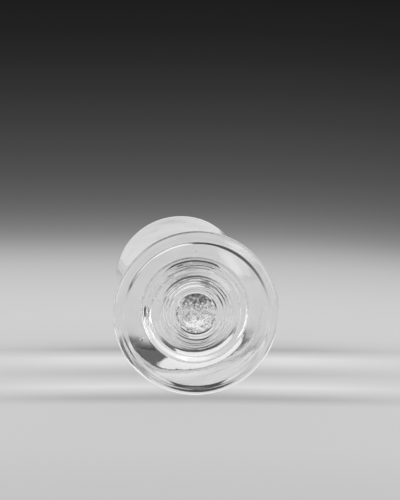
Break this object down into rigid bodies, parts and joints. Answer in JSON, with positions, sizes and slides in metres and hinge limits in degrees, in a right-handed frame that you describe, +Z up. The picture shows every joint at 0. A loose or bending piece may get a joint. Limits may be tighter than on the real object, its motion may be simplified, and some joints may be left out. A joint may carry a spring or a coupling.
{
  "type": "dram glass",
  "caption": "Small hand-blown drinking glass: round-bottomed bowl on a short solid stem and a low domed foot with a folded rim.",
  "frame": {"origin": "middle of the foot, on the surface that the glass stands on", "axes": "+Z up along the axis of the glass, from the foot to the rim"},
  "size_m": [0.062, 0.062, 0.09],
  "materials": {
    "clear_glass": "fire-polished, hand-blown, clear with a faint grey tint",
    "broken_glass": "rough broken glass of the pontil scar"
  },
  "bodies": {
    "root": {"foot": "clear_glass", "stem": "clear_glass", "bowl": "clear_glass", "pontil_scar": "broken_glass"}
  },
  "joints": []
}
